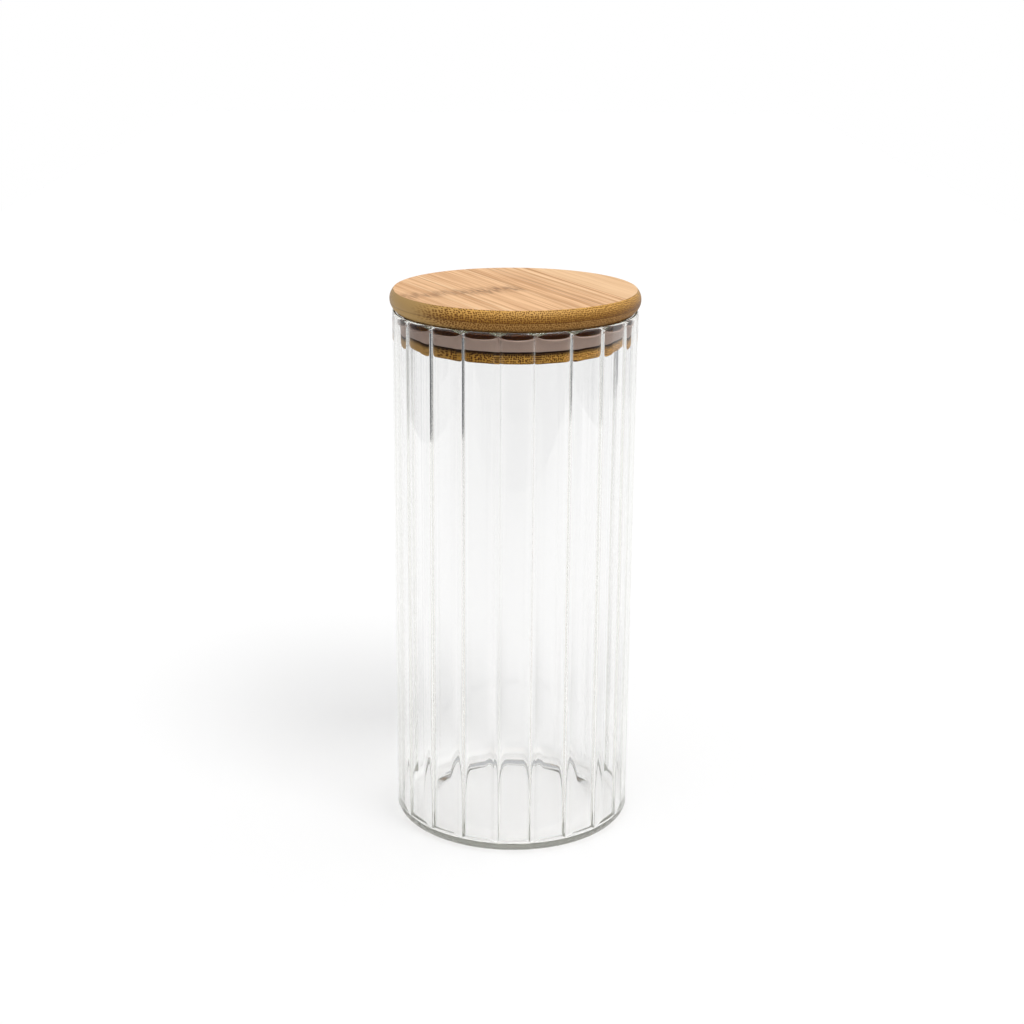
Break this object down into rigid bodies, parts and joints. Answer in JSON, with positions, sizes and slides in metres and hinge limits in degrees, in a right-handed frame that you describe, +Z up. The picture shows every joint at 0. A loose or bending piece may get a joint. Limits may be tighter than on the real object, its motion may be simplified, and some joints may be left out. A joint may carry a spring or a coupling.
{
  "type": "lidded glass canister",
  "caption": "Tall clear glass canister, ribbed inside, with a round-edged laminated bamboo lid and a silicone seal ring; stores dry food, the lid lifts off and turns.",
  "frame": {"origin": "centre of the jar's standing face, on the surface it stands on", "axes": "+Z up along the jar's axis; -Y is the side seen in the picture, where one clear panel between two ribs faces the viewer"},
  "size_m": [0.0866, 0.0866, 0.1933],
  "materials": {
    "glass": "clear fire-polished borosilicate glass",
    "bamboo": "fine-sanded and oiled strip bamboo",
    "silicone": "matt translucent silicone"
  },
  "bodies": {
    "jar": {"glass_jar": "glass"},
    "seal": {"seal_ring": "silicone"},
    "lid": {"lid_top_strip_1": "bamboo", "lid_top_strip_2": "bamboo", "lid_top_strip_3": "bamboo", "lid_top_strip_4": "bamboo", "lid_core_strip_1": "bamboo", "lid_core_strip_2": "bamboo", "lid_core_strip_3": "bamboo", "lid_core_strip_4": "bamboo", "lid_core_strip_5": "bamboo", "lid_plug_strip_1": "bamboo", "lid_plug_strip_2": "bamboo", "lid_plug_strip_3": "bamboo", "lid_plug_strip_4": "bamboo"}
  },
  "joints": [
    {"name": "lid_lift", "type": "slide", "parent": "jar", "child": "seal", "axis": [0, 0, 1], "range_m": [0, 0.12]},
    {"name": "lid_turn", "type": "hinge", "parent": "seal", "child": "lid", "pos_m": [0, 0, 0.186], "axis": [0, 0, 1], "continuous": true}
  ]
}
